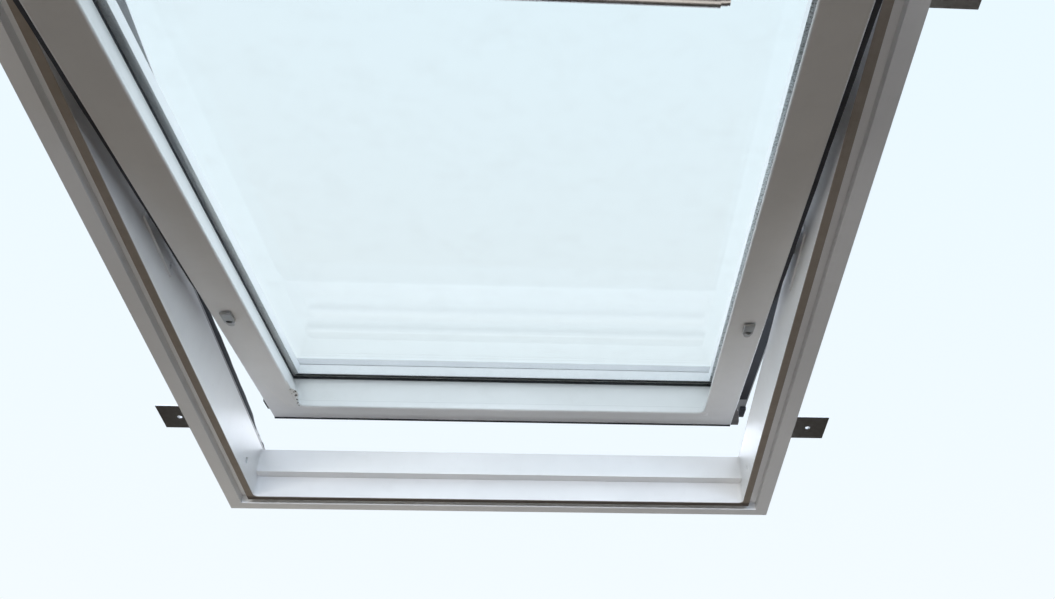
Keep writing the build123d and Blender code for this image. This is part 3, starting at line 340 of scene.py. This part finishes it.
def spacer_metal(name):
    """Mill finish bar: bright flanks; a speckled room side, darker along the top and bottom, with painted light
    lifting it along the sides (more on the +X side) and a painted highlight along its outer edge.
    """
    m, nt, b = new_material(name)
    v = coords(nt)
    grain = noise(nt, v, 160.0, 3.0, 0.6)
    bright = ramp(nt, grain, [(0.3, (0.86, 0.89, 0.92)), (0.7, (0.91, 0.94, 0.97))])
    specks = noise(nt, v, 420.0, 2.0, 0.5)
    # painted light: the pale ramps lift the speckled room side along the sides, more on the +X side
    pale = ramp(nt, specks, [(0.38, (0.30, 0.32, 0.34)), (0.52, (0.86, 0.90, 0.94))])
    painted_light_plus_x = ramp(nt, specks, [(0.30, (0.66, 0.69, 0.72)), (0.46, (0.95, 0.97, 0.98))])
    pale = mix(nt, pale, painted_light_plus_x, step(nt, dot(nt, v, (1.0, 0.0, 0.0)), 0.0, 0.01))
    dark = ramp(nt, specks, [(0.38, (0.035, 0.036, 0.040)), (0.60, (0.10, 0.105, 0.115))])
    y = math(nt, "SUBTRACT", dot(nt, v, (0.0, cos(TILT), -sin(TILT))), -0.019 * sin(TILT))
    side = math(nt, "SUBTRACT", 0.3355, math(nt, "ABSOLUTE", dot(nt, v, (1.0, 0.0, 0.0))))
    ends = math(nt, "MINIMUM", math(nt, "ADD", y, 0.52874), math(nt, "SUBTRACT", 0.536, y))
    # painted highlight: a pale band along the room side's outer edge
    painted_highlight_band = math(nt, "SUBTRACT", 1.0, step(nt, math(nt, "MINIMUM", side, ends), 0.0268, 0.0274))
    dots = mix(nt, pale, dark, step(nt, math(nt, "SUBTRACT", side, ends), -0.001, 0.001))
    room = mix(nt, dots, (0.90, 0.91, 0.92), painted_highlight_band)
    geo = nt.nodes.new("ShaderNodeNewGeometry")
    faces_room = step(nt, math(nt, "MULTIPLY", dot(nt, geo.outputs["True Normal"], (0.0, sin(TILT), cos(TILT))), -1.0), 0.5, 0.8)
    nt.links.new(mix(nt, bright, room, faces_room), b.inputs["Base Color"])
    b.inputs["Metallic"].default_value = 0.05
    nt.links.new(ramp(nt, grain, [(0.3, (0.30, 0.30, 0.30)), (0.7, (0.42, 0.42, 0.42))]), b.inputs["Roughness"])
    bump(nt, b, noise(nt, v, 700.0, 2.0), 0.15, 0.0002)
    return m


def coated_steel(name, colour):
    """Powder coated steel, faintly pebbled, rubbed at a few spots."""
    m, nt, b = new_material(name)
    v = coords(nt)
    n1 = noise(nt, v, 38.0, 4.0, 0.6)
    base = ramp(nt, n1, [(0.3, tuple(0.93 * c for c in colour)), (0.7, colour)])
    rub = ramp(nt, noise(nt, v, 120.0, 4.0, 0.65), [(0.66, (0, 0, 0)), (0.74, (1, 1, 1))])
    nt.links.new(mix(nt, base, (0.55, 0.55, 0.54), math(nt, "MULTIPLY", rub, 0.35)), b.inputs["Base Color"])
    nt.links.new(ramp(nt, n1, [(0.3, (0.34,) * 3), (0.8, (0.46,) * 3)]), b.inputs["Roughness"])
    bump(nt, b, noise(nt, v, 1500.0, 2.0), 0.2, 0.0002)
    return m


def plastic(name, colour, rough):
    m, nt, b = new_material(name)
    v = coords(nt)
    n1 = noise(nt, v, 30.0, 4.0, 0.6)
    nt.links.new(ramp(nt, n1, [(0.3, tuple(0.88 * c for c in colour)), (0.7, colour)]), b.inputs["Base Color"])
    nt.links.new(ramp(nt, n1, [(0.3, (rough * 0.85,) * 3), (0.8, (min(1, rough * 1.2),) * 3)]), b.inputs["Roughness"])
    bump(nt, b, noise(nt, v, 1100.0, 2.0), 0.15, 0.0002)
    return m


def pane(name, dust_amount):
    """Clear float glass that lets lamps through, with a trace of dust."""
    m, nt, b = new_material(name)
    out = [n for n in nt.nodes if n.type == "OUTPUT_MATERIAL"][0]
    b.inputs["Base Color"].default_value = (0.975, 0.992, 0.986, 1)
    b.inputs["Transmission Weight"].default_value = 1.0
    b.inputs["IOR"].default_value = 1.22
    v = coords(nt)
    spots = ramp(nt, noise(nt, v, 21.0, 6.0, 0.72), [(0.50, (0, 0, 0)), (0.86, (1, 1, 1))])
    nt.links.new(ramp(nt, noise(nt, v, 9.0, 3.0), [(0.3, (0.004,) * 3), (0.8, (0.014,) * 3)]), b.inputs["Roughness"])
    dust = nt.nodes.new("ShaderNodeBsdfDiffuse")
    dust.inputs["Color"].default_value = (0.70, 0.69, 0.66, 1)
    clear = nt.nodes.new("ShaderNodeBsdfTransparent")
    clear.inputs["Color"].default_value = (0.975, 0.992, 0.986, 1)
    path = nt.nodes.new("ShaderNodeLightPath")
    s1 = nt.nodes.new("ShaderNodeMixShader")
    s2 = nt.nodes.new("ShaderNodeMixShader")
    nt.links.new(math(nt, "MULTIPLY", spots, dust_amount), s1.inputs[0])
    nt.links.new(b.outputs["BSDF"], s1.inputs[1])
    nt.links.new(dust.outputs[0], s1.inputs[2])
    nt.links.new(path.outputs["Is Shadow Ray"], s2.inputs[0])
    nt.links.new(s1.outputs[0], s2.inputs[1])
    nt.links.new(clear.outputs[0], s2.inputs[2])
    nt.links.new(s2.outputs[0], out.inputs["Surface"])
    return m


# scuffs on the left stile next to its lower corner
SCRATCHES = ((0.3085, -0.437, 0.3010, -0.478, 0.0006), (0.3125, -0.440, 0.3045, -0.482, 0.0007),
             (0.3225, -0.395, 0.3150, -0.438, 0.0005), (0.3020, -0.455, 0.2965, -0.486, 0.0005))


def give(material, *names):
    for n in names:
        ob = frame["nodes"][n]
        ob.data.materials.clear()
        ob.data.materials.append(material)


DOME = 2.3

WHITE_F = white_profile("white frame profile", ((0.76, 0.765, 0.77), (0.82, 0.825, 0.83)), lip=True)
WHITE_S = white_profile("white sash profile", ((0.77, 0.775, 0.78), (0.83, 0.835, 0.84)), bead=True)
WHITE_L = white_profile("white sash profile, scuffed", ((0.77, 0.775, 0.78), (0.83, 0.835, 0.84)), bead=True,
                        scratches=SCRATCHES)
RUBBER = rubber("black seal")
SHEET = coated_sheet("coated sheet")
ZINC = metal("zinc plated steel", (0.62, 0.63, 0.64), 0.38)
SCREW = metal("screw steel", (0.66, 0.66, 0.67), 0.3)
HOOK = metal("hook metal", (0.60, 0.60, 0.59), 0.36)
SPACER = spacer_metal("spacer aluminium")
PAINTED = coated_steel("white coated steel", (0.78, 0.79, 0.80))
BAR = metal("satin bar", (0.78, 0.79, 0.80), 0.32)
BUTYL = plastic("pale edge sealant", (0.52, 0.53, 0.54), 0.55)
GREY = plastic("grey plastic", (0.30, 0.31, 0.32), 0.5)
CASE = plastic("white gloss plastic", (0.78, 0.79, 0.80), 0.25)

SLOTS = {"frame_white": WHITE_F, "sash_white": WHITE_S, "black_rubber": RUBBER, "cover_sheet": SHEET, "steel": ZINC,
         "screw_steel": SCREW, "hook_metal": HOOK, "spacer_metal": SPACER, "edge_seal": BUTYL, "grey_plastic": GREY,
         "white_steel": PAINTED, "bar_metal": BAR, "white_gloss": CASE, "tongue_metal": SCREW}
for sub in frame["record"]["subparts"]:
    if sub["material_slot"] in SLOTS:
        give(SLOTS[sub["material_slot"]], sub["node"])
give(pane("inner pane glass", 0.02), "inner_pane")
give(pane("outer pane glass", 0.04), "outer_pane")
give(WHITE_L, "sash_left_stile")
give(plastic("white plug plastic", (0.70, 0.70, 0.70), 0.4), "fixing_plugs")
# painted shade: the seal carrier is coloured grey as the shade on the outer edge of the frame face below the seal
SHADE_GREY_CARRIER = plastic("seal carrier in painted shade grey", (0.36, 0.355, 0.36), 0.5)
FILM = plastic("peeling white coating", (0.86, 0.865, 0.86), 0.35)
# painted shade: dark specks that stand for the shadows in the gaps under the lifting film
GAP_SHADE = plastic("painted gap shade", (0.10, 0.095, 0.085), 0.8)
SEALEND = rubber("worn seal end", (0.055, 0.050, 0.046))


# ------------------------------------------------------------------ pieces
SASH_W, SASH_LOW, SASH_HIGH, SASH_FACE = 335.5, -528.74, 536.0, -27.13


def sash_point(x, u, v):
    """Metres, from millimetres across, up from the sash's lower edge, and in depth."""
    y, z = SASH_LOW + u, SASH_FACE + v
    return Vector((x, y * cos(TILT) + z * sin(TILT), -y * sin(TILT) + z * cos(TILT) + 19.0)) / 1000.0


def mesh_piece(name, verts, faces, material, body, angle=35.0):
    me = bpy.data.meshes.new(name)
    me.from_pydata([tuple(v) for v in verts], [], faces)
    bm = bmesh.new()
    bm.from_mesh(me)
    bmesh.ops.remove_doubles(bm, verts=bm.verts, dist=1e-7)
    bmesh.ops.recalc_face_normals(bm, faces=bm.faces)
    bm.to_mesh(me)
    bm.free()
    me.polygons.foreach_set("use_smooth", [True] * len(me.polygons))
    me.set_sharp_from_angle(angle=radians(angle))
    me.materials.append(material)
    ob = bpy.data.objects.new(name, me)
    bpy.context.scene.collection.objects.link(ob)
    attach(ob, body)
    return ob


def loft(loops, verts, faces):
    """Closed sections joined into one closed skin, added to verts and faces."""
    base, n = len(verts), len(loops[0])
    for loop in loops:
        verts.extend(loop)
    for i in range(len(loops) - 1):
        for j in range(n):
            k = (j + 1) % n
            faces.append((base + i * n + j, base + i * n + k, base + (i + 1) * n + k, base + (i + 1) * n + j))
    faces.append(tuple(base + j for j in range(n)))
    faces.append(tuple(base + (len(loops) - 1) * n + j for j in range(n)))


# soft seal: a foot, a hollow-looking neck and a rounded lip; d is outward, z up
BULB = ((0.5, 0.0), (5.1, 0.0), (5.4, 0.7), (5.3, 1.4), (4.5, 2.0), (4.8, 3.4), (4.9, 5.0), (4.6, 6.6), (3.9, 8.0),
        (2.8, 9.0), (1.7, 9.3), (0.7, 8.8), (0.15, 7.7), (0.1, 6.2), (0.45, 4.9), (0.9, 3.7), (0.8, 2.6), (0.3, 1.9),
        (0.05, 1.2), (0.15, 0.5))


def lerp_table(table, x):
    if x <= table[0][0]:
        return table[0][1]
    for (x0, y0), (x1, y1) in zip(table, table[1:]):
        if x <= x1:
            return y0 + (y1 - y0) * (x - x0) / (x1 - x0)
    return table[-1][1]


def seal_section(lean, rise, shift, start):
    """Section of the seal's lip: leaned inward, scaled in height, from a start height."""
    pts = []
    for d, z in BULB:
        zz = start + z * (9.4 - start) / 9.4 * rise
        k = max(0.0, (zz - start) / max(1e-6, 9.4 - start))
        pts.append((d + shift - lean * k ** 1.3, zz))
    return pts


def make_seals():
    verts, faces, cv, cf = [], [], [], []
    top = 23.0
    # lean, height and foot of the left lower run, from the hinge to the corner
    lean = ((-549, 0.2), (-545, 1.3), (-536, 1.9), (-524, 1.7), (-518, 0.3), (-510, 0.3), (-506, 1.9), (-501, 1.9), (-497, 0.6), (-482, 2.2), (-455, 3.8), (-400, 4.4), (-338, 4.8), (-240, 5.3), (-120, 4.6), (-60, 2.0))
    rise = ((-550, 0.3), (-545, 0.65), (-536, 0.85), (-524, 0.8), (-518, 0.4), (-510, 0.4), (-506, 0.8), (-501, 0.8), (-497, 0.5), (-480, 0.8), (-450, 1.0), (-60, 1.0))
    for s in (1, -1):
        for up in (-1, 1):
            y_end = 558.0 if up < 0 else 549.0
            loops, wall = [], []
            n = 150
            for i in range(n + 1):
                y = up * (60.0 + (y_end - 60.0) * i / n)
                wave = 0.25 * sin(y * 0.045 + s) + 0.15 * sin(y * 0.13 + 2.0 * s)
                if up < 0 and s > 0:
                    sec = seal_section(lerp_table(lean, y) + wave, lerp_table(rise, y), 0.0, 0.0)
                elif up < 0:
                    sec = seal_section(0.0, 0.26, 2.0, 0.0)
                else:
                    sec = seal_section(0.8 + wave, 0.97, 0.0, 0.0)
                loops.append([Vector((s * (346.5 + d), y, top + z)) / 1000.0 for d, z in sec])
                h = 7.6 if s > 0 or up > 0 else 1.6
                if up < 0 and s > 0:
                    h = lerp_table(((-552, 7.0), (-500, 8.2), (-450, 8.8), (-338, 8.3), (-60, 7.4)), y)
                face = 345.98
                wall.append([Vector((s * x, y, z)) / 1000.0 for x, z in
                             ((face, top), (face, top + h - 0.4), (face + 0.25, top + h), (face + 0.6, top + h),
                              (face + 0.75, top + h - 0.4), (face + 0.75, top))])
            loft(loops, verts, faces)
            loft(wall, cv, cf)
    for up in (-1, 1):
        y0 = 555.0 if up < 0 else 546.5
        loops = []
        for i in range(61):
            x = -350.0 + 700.0 * i / 60
            sec = seal_section(0.4 + 0.2 * sin(x * 0.05), 0.95, 0.0, 0.0)
            loops.append([Vector((x, up * (y0 + d), top + z)) / 1000.0 for d, z in sec])
        loft(loops, verts, faces)
    seal = mesh_piece("frame_seal_lip", verts, faces, RUBBER, "frame", 50.0)
    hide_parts("frame_seal")
    # grey carrier strip: its grey colour is painted shade
    mesh_piece("seal_carrier", cv, cf, SHADE_GREY_CARRIER, "frame", 40.0)


def corner_weld(name, sx, low):
    """Rounded, cleaned weld in an inner corner of the sash."""
    prof = [(39.0, -0.05), (41.5, -0.06), (43.4, -0.06)]
    for i in range(1, 7):
        a = radians(90 - (90 + 21.2) * i / 6)
        cx, cy, r = 43.85, 2.5, 2.56
        prof.append((cx + r * cos(a), cy - r * sin(a)))
    for i in range(1, 9):
        t = i / 8
        prof.append((prof[8][0] + (28.0 - prof[8][0]) * t, prof[8][1] + (47.3 - prof[8][1]) * t))
    grid = []
    for j, (d, v) in enumerate(prof):
        k = 0.0 if v < 2.0 else (v - 2.0) / 46.0
        r = 7.5 * (1 - k) + 2.0 * k
        row = [(d, d + r + 0.6)]
        for i in range(13):
            a = radians(90.0 * i / 12)
            row.append((d + r - r * cos(a), d + r - r * sin(a)))
        row.append((d + r + 0.6, d))
        if j == 0:
            row = [(d, d + r + 0.6)] + [(d, d + (r + 0.6) * (1 - i / 6)) if i <= 6 else
                                        (d + (r + 0.6) * (i - 6) / 6, d) for i in range(13)] + [(d + r + 0.6, d)]
        grid.append([(dx, du, v) for dx, du in row])
    verts, faces = [], []
    m = len(grid[0])
    for row in grid:
        for dx, du, v in row:
            u = du if low else (SASH_HIGH - SASH_LOW) - du
            verts.append(sash_point(sx * (SASH_W - dx), u, v))
    for i in range(len(grid) - 1):
        for j in range(m - 1):
            a = i * m + j
            faces.append((a, a + 1, a + m + 1, a + m))
    ob = mesh_piece(name, verts, faces, WHITE_S, "sash", 40.0)
    me = ob.data
    # the skin's front looks into the opening
    centre = sash_point(0.0, 500.0, 20.0)
    f = me.polygons[len(me.polygons) // 2]
    if f.normal.dot(centre - f.center) < 0:
        me.flip_normals()
    mod = ob.modifiers.new("thickness", "SOLIDIFY")
    mod.thickness = 0.0004
    mod.offset = -1.0
    return ob


def peeling_coat():
    """Ragged film lifting off the ridge beside the lower left corner."""
    rnd = random.Random(7)
    verts, faces = [], []
    rows, cols = 74, 9
    for i in range(rows):
        u = 50.0 + 92.0 * i / (rows - 1)
        fade = min(1.0, (rows - 1 - i) / 22.0)
        out = (0.8 + 3.4 * abs(mnoise.noise(Vector((u * 0.11, 3.0, 0.0)))) + 1.6 * rnd.random()) * fade + 0.3
        lift = (0.25 + 1.5 * abs(mnoise.noise(Vector((u * 0.16, 9.0, 1.0))))) * fade + 0.06
        for j in range(cols):
            t = j / (cols - 1)
            if t < 0.55:
                # on the room face, its free edge lifted
                k = 1 - t / 0.55
                d = 44.6 - out * k
                v = -0.08 - lift * k ** 1.5 + 0.12 * mnoise.noise(Vector((u * 0.7, j * 1.7, 4.0)))
            else:
                k = (t - 0.55) / 0.45
                a = radians(100.0 * k)
                d = 43.9 + 2.62 * sin(a)
                v = 2.5 - 2.62 * cos(a) + 0.10 * mnoise.noise(Vector((u * 0.9, j * 2.1, 8.0)))
            verts.append(sash_point(SASH_W - d, u + 0.35 * rnd.random(), v))
    for i in range(rows - 1):
        for j in range(cols - 1):
            a = i * cols + j
            if j < 2 and rnd.random() < 0.16:
                continue
            faces.append((a, a + 1, a + cols + 1, a + cols))
    ob = mesh_piece("lifted_coating", verts, faces, FILM, "sash", 50.0)
    mod = ob.modifiers.new("thickness", "SOLIDIFY")
    mod.thickness = 0.00018
    mod.offset = 0.0
    # loose flap standing out over the opening
    verts, faces = [], []
    rows, cols = 30, 7
    for i in range(rows):
        u = 80.0 + 38.0 * i / (rows - 1)
        wide = 6.4 * max(0.0, sin(pi * i / (rows - 1))) ** 0.6 + 0.5 + 0.7 * rnd.random()
        for j in range(cols):
            t = j / (cols - 1)
            v = 0.16 + 0.25 * t * t + 0.06 * mnoise.noise(Vector((u * 0.5, j * 1.3, 2.0)))
            verts.append(sash_point(SASH_W - (45.9 + wide * t), u + 0.3 * rnd.random(), v))
    for i in range(rows - 1):
        for j in range(cols - 1):
            a = i * cols + j
            if j > 3 and rnd.random() < 0.12:
                continue
            faces.append((a, a + 1, a + cols + 1, a + cols))
    ob = mesh_piece("coating_flap", verts, faces, FILM, "sash", 50.0)
    mod = ob.modifiers.new("thickness", "SOLIDIFY")
    mod.thickness = 0.00022
    mod.offset = 0.0
    # dark specks painted as the shade in the gaps under the lifting film
    verts, faces = [], []
    for (u, d, r) in ((107.5, 51.4, 1.5), (104.0, 48.6, 0.9), (91.5, 49.8, 1.7), (90.0, 47.6, 1.2), (75.0, 47.2, 1.3),
                      (64.0, 46.3, 1.0), (60.0, 44.6, 0.7), (52.0, 45.6, 0.8), (98.0, 44.6, 0.6), (113.0, 45.2, 0.7)):
        base = len(verts)
        ring = []
        for k in range(10):
            a = 2 * pi * k / 10
            rr = r * (0.75 + 0.5 * rnd.random())
            ring.append((d + rr * cos(a) * 0.8, u + rr * sin(a) * 2.5))
        for dd, uu in ring:
            verts.append(sash_point(SASH_W - dd, uu, -0.02))
        for dd, uu in ring:
            verts.append(sash_point(SASH_W - (d + (dd - d) * 0.7), u + (uu - u) * 0.7, -0.35))
        for k in range(10):
            q = (k + 1) % 10
            faces.append((base + k, base + q, base + 10 + q, base + 10 + k))
        faces.append(tuple(base + 10 + k for k in range(10)))
        faces.append(tuple(base + k for k in range(10)))
    mesh_piece("gap_shade_specks", verts, faces, GAP_SHADE, "sash", 40.0)


def seal_end():
    """Loose tapering end of the side seal beside the lower right corner."""
    outline = ((0.4, 0.0), (-11.0, 0.4), (-10.6, 14.0), (-8.2, 34.0), (-5.0, 54.0), (-2.0, 64.0), (0.4, 66.0))
    rnd = random.Random(11)
    fine = []
    for (d0, u0), (d1, u1) in zip(outline, outline[1:]):
        for k in range(4):
            t = k / 4
            fine.append((d0 + (d1 - d0) * t + (0.25 * rnd.random() if 0 < k else 0.0), u0 + (u1 - u0) * t))
    fine.append(outline[-1])
    n = len(fine)
    verts, faces = [], []
    for v, inset in ((3.0, 0.5), (2.6, 0.0), (0.9, 0.0), (0.5, 0.5)):
        for d, u in fine:
            shift = inset if d < -0.5 else 0.0
            verts.append(sash_point(-(SASH_W - d - shift), u + (inset if u < 2.0 else 0.0), v))
    for r in range(3):
        for i in range(n):
            j = (i + 1) % n
            faces.append((r * n + i, r * n + j, (r + 1) * n + j, (r + 1) * n + i))
    faces.append(tuple(range(n)))
    faces.append(tuple(3 * n + i for i in reversed(range(n))))
    mesh_piece("seal_end_right", verts, faces, SEALEND, "sash", 30.0)


def side_shade_strips():
    """Thin black lip on the sash's sides, past the hinges and up to the top corners: painted shade for the dark gap
    between sash and frame.
    """
    verts, faces = [], []
    reach = {1: ((425, 337.6), (440, 338.4), (600, 338.6), (850, 340.6), (1045, 341.2)),
             -1: ((425, 338.2), (440, 340.0), (600, 340.4), (850, 341.0), (1045, 341.4))}
    for s in (1, -1):
        loops = []
        for i in range(63):
            u = 425.0 + 620.0 * i / 62
            x = lerp_table(reach[s], u) + 0.18 * sin(u * 0.04 + s) + 0.1 * sin(u * 0.13)
            sec = ((335.52, 0.9), (335.52, 9.2), (336.5, 9.2), (336.8, 3.4), (x - 0.5, 2.7), (x, 2.0), (x - 0.5, 1.3), (336.6, 0.9))
            loops.append([sash_point(s * d, u, v) for d, v in sec])
        loft(loops, verts, faces)
    mesh_piece("side_shade_strips", verts, faces, RUBBER, "sash", 40.0)


make_seals()
side_shade_strips()
seal_end()
for label, sx, low in (("lower_left", 1, True), ("lower_right", -1, True), ("upper_left", 1, False), ("upper_right", -1, False)):
    corner_weld("sash_weld_" + label, sx, low)
peeling_coat()

# ------------------------------------------------------------------- stage
bpy.ops.mesh.primitive_plane_add(size=1.9, location=(0, -0.1, -3.2))
floor = bpy.context.object
floor.name = "floor"
fm, fnt, fb = new_material("pale floor")
fb.inputs["Base Color"].default_value = (0.56, 0.47, 0.38, 1)
fb.inputs["Roughness"].default_value = 0.8
floor.data.materials.append(fm)

make_world()
area_light("key", (0.9, 0.9, 2.3), (0.1, -0.35, 0.0), (1.8, 1.8), 11.0, (1.0, 0.94, 0.85), True)
area_light("up slope left", (1.05, 4.0, -0.57), (0.1, -0.55, -0.02), (2.0, 0.18), 84.0, (1.0, 0.99, 0.97))
area_light("up slope right", (-1.05, 4.0, -0.57), (-0.1, -0.55, -0.02), (2.0, 0.18), 72.0, (0.66, 0.80, 1.0))
area_light("low sky", (0.0, -1.75, 0.50), (0.0, -0.42, 0.0), (2.4, 0.5), 39.0, (0.97, 0.98, 1.0))
area_light("fill left", (0.38, -1.02, -0.52), (0.2, -0.45, 0.06), (0.6, 0.4), 0.9, (1.0, 0.95, 0.82))
area_light("fill right", (-0.38, -1.02, -0.52), (-0.2, -0.45, 0.06), (0.6, 0.4), 0.35, (0.86, 0.93, 1.0))
area_light("below", (-0.05, -0.85, -1.25), (-0.05, -0.5, 0.05), (1.0, 0.1), 0.26, (0.93, 0.96, 1.0), spread=62.0)
make_camera()
bpy.context.scene.view_settings.view_transform = "Standard"
